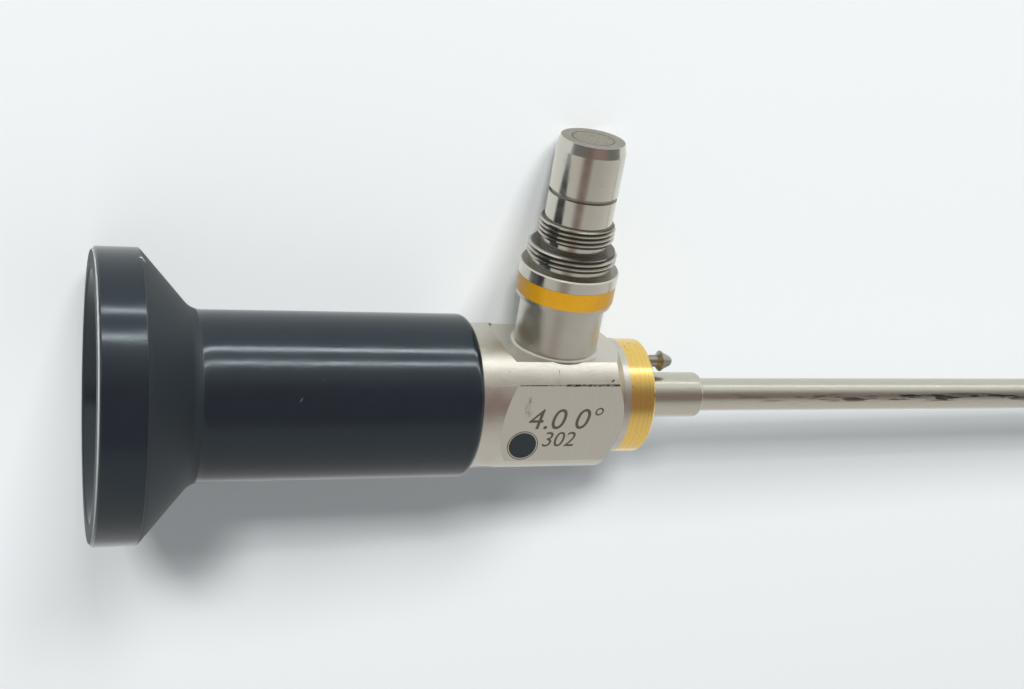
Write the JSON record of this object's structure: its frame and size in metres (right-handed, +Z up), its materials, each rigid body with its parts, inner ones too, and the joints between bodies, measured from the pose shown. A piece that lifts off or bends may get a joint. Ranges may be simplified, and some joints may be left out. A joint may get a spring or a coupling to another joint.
{
  "type": "rigid endoscope",
  "caption": "Straight-ahead rigid telescope with a black eyecup and grip, a flatted steel body, a bare light post with a yellow ring, a gold index ring with a locking stud and a long thin tube.",
  "frame": {"origin": "on the floor under the middle of the whole telescope, as it lies at rest", "axes": "+X along the tube towards the tip, level, with the optical axis sloping down by about 2 degrees; +Y towards the side where the light post lies; +Z up"},
  "size_m": [0.3658, 0.0472, 0.0321],
  "materials": {
    "black_plastic": "satin, turned black high-temperature plastic",
    "blasted_steel": "glass-bead blasted stainless steel",
    "turned_steel": "turned and polished stainless steel",
    "yellow_plastic": "moulded yellow plastic",
    "gold_plate": "satin gold plate",
    "tube_steel": "drawn and polished stainless tube",
    "fibre_face": "bonded glass fibres, ground and polished",
    "window_glass": "polished window",
    "lens_glass": "polished optical glass",
    "black_metal": "black anodised",
    "inner_steel": "plain turned steel",
    "seal_rubber": "moulded seal"
  },
  "bodies": {
    "root": {"body": "blasted_steel", "colour_ring": "yellow_plastic", "distal_window": "window_glass", "doublet_crown": "lens_glass", "doublet_flint": "lens_glass", "eye_lens": "lens_glass", "eye_lens_spacer": "black_metal", "eyecup": "black_plastic", "eyepiece_window": "window_glass", "field_stop": "black_metal", "index_ring": "gold_plate", "lens_lock_ring": "black_metal", "light_guide": "fibre_face", "light_guide_ferrule": "turned_steel", "locking_pin": "turned_steel", "objective_front_lens": "lens_glass", "objective_rear_lens": "lens_glass", "objective_stop": "black_metal", "ocular_barrel": "black_metal", "ocular_housing": "inner_steel", "optics_tube": "inner_steel", "outer_tube": "tube_steel", "post_base": "blasted_steel", "post_connector": "turned_steel", "rod_lens_01": "lens_glass", "rod_lens_02": "lens_glass", "rod_lens_03": "lens_glass", "rod_lens_04": "lens_glass", "rod_lens_05": "lens_glass", "rod_lens_06": "lens_glass", "rod_lens_07": "lens_glass", "rod_lens_08": "lens_glass", "rod_lens_09": "lens_glass", "rod_lens_10": "lens_glass", "rod_spacer_01": "inner_steel", "rod_spacer_02": "inner_steel", "rod_spacer_03": "inner_steel", "rod_spacer_04": "inner_steel", "rod_spacer_05": "inner_steel", "rod_spacer_06": "inner_steel", "rod_spacer_07": "inner_steel", "rod_spacer_08": "inner_steel", "rod_spacer_09": "inner_steel", "rod_spacer_10": "inner_steel", "rod_spacer_11": "inner_steel", "shaft_hub": "tube_steel", "sleeve_seal": "seal_rubber", "tube_clamp": "inner_steel", "window_ring": "black_metal", "window_seal": "seal_rubber"}
  },
  "joints": []
}
